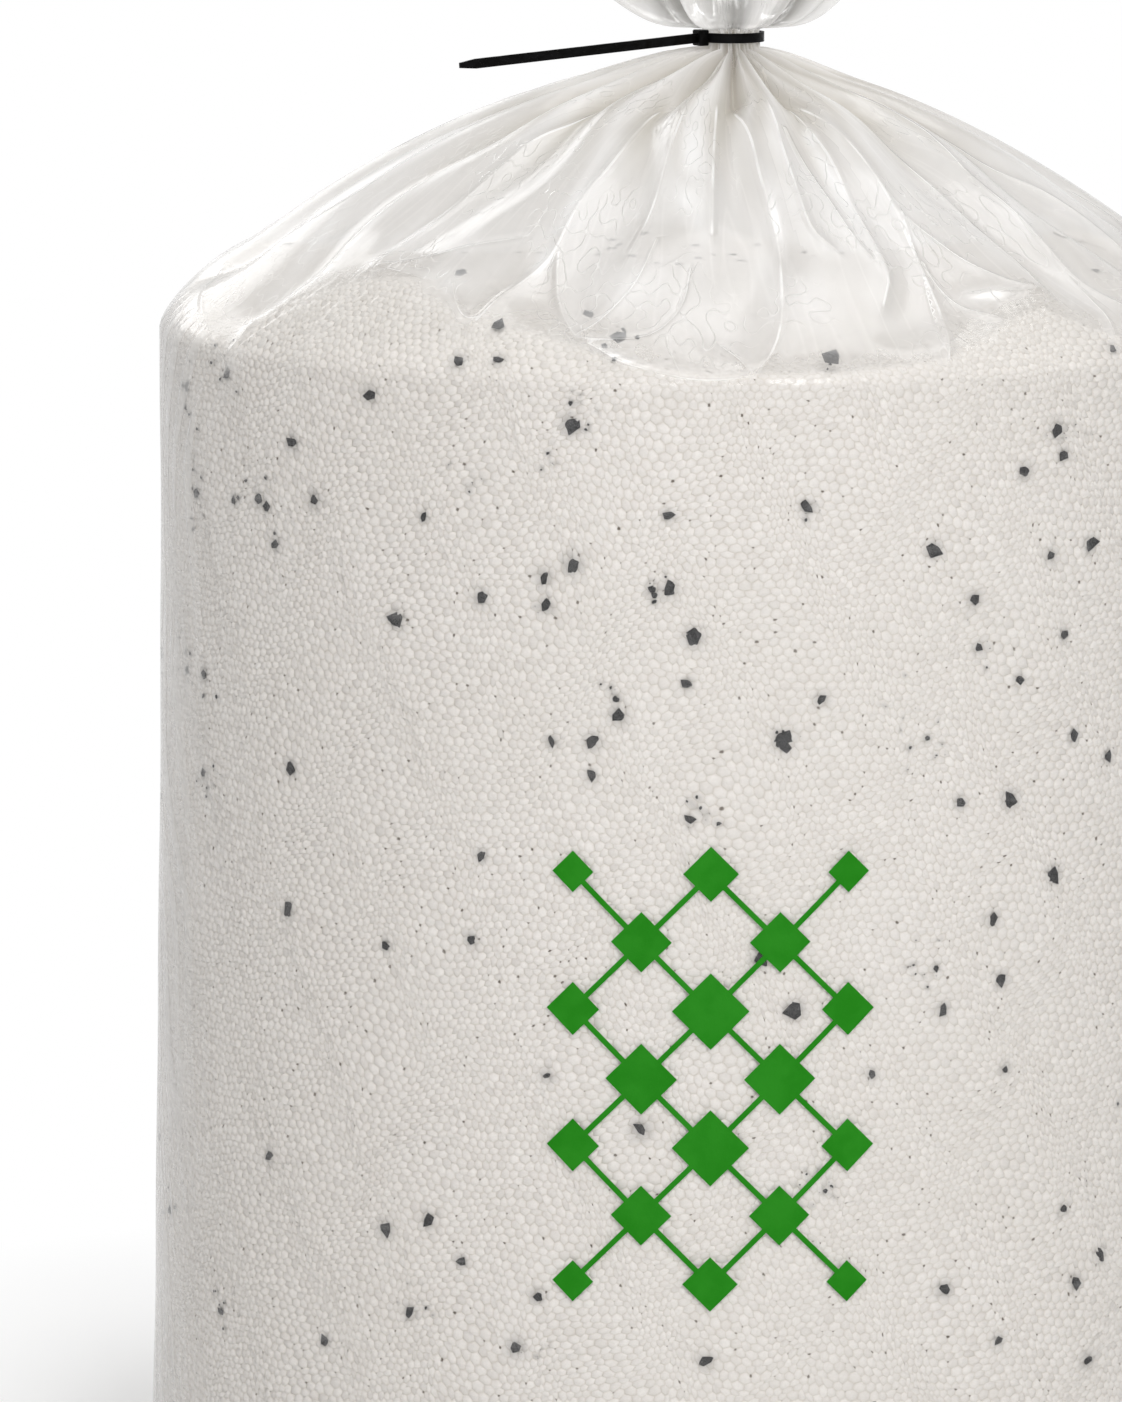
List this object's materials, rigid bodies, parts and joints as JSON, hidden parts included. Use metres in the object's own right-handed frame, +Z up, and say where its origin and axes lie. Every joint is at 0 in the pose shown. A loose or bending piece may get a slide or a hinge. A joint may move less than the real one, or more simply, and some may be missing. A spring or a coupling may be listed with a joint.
{
  "type": "clear film bag of polystyrene bead loose fill",
  "caption": "Round clear film bag of white loose-fill beads, folded over a domed top, gathered at the neck and closed with a black cable tie under a ruffled flare.",
  "frame": {"origin": "centre of the bag's flat base, on the floor", "axes": "+Z up through the bag; the printed front faces -Y; +X is to the right when facing the front"},
  "size_m": [0.5606, 0.5606, 0.7888],
  "materials": {
    "clear_film": "clear, slightly milky polythene film, glossy, whiter where it is folded",
    "polystyrene_beads": "white expanded beads of about 4.5 mm with scattered dark grey chips",
    "black_nylon": "moulded nylon with a soft sheen",
    "green_ink": "flat opaque ink"
  },
  "bodies": {
    "root": {"bag_film": "clear_film", "bead_fill": "polystyrene_beads", "cable_tie": "black_nylon", "green_print": "green_ink"}
  },
  "joints": []
}
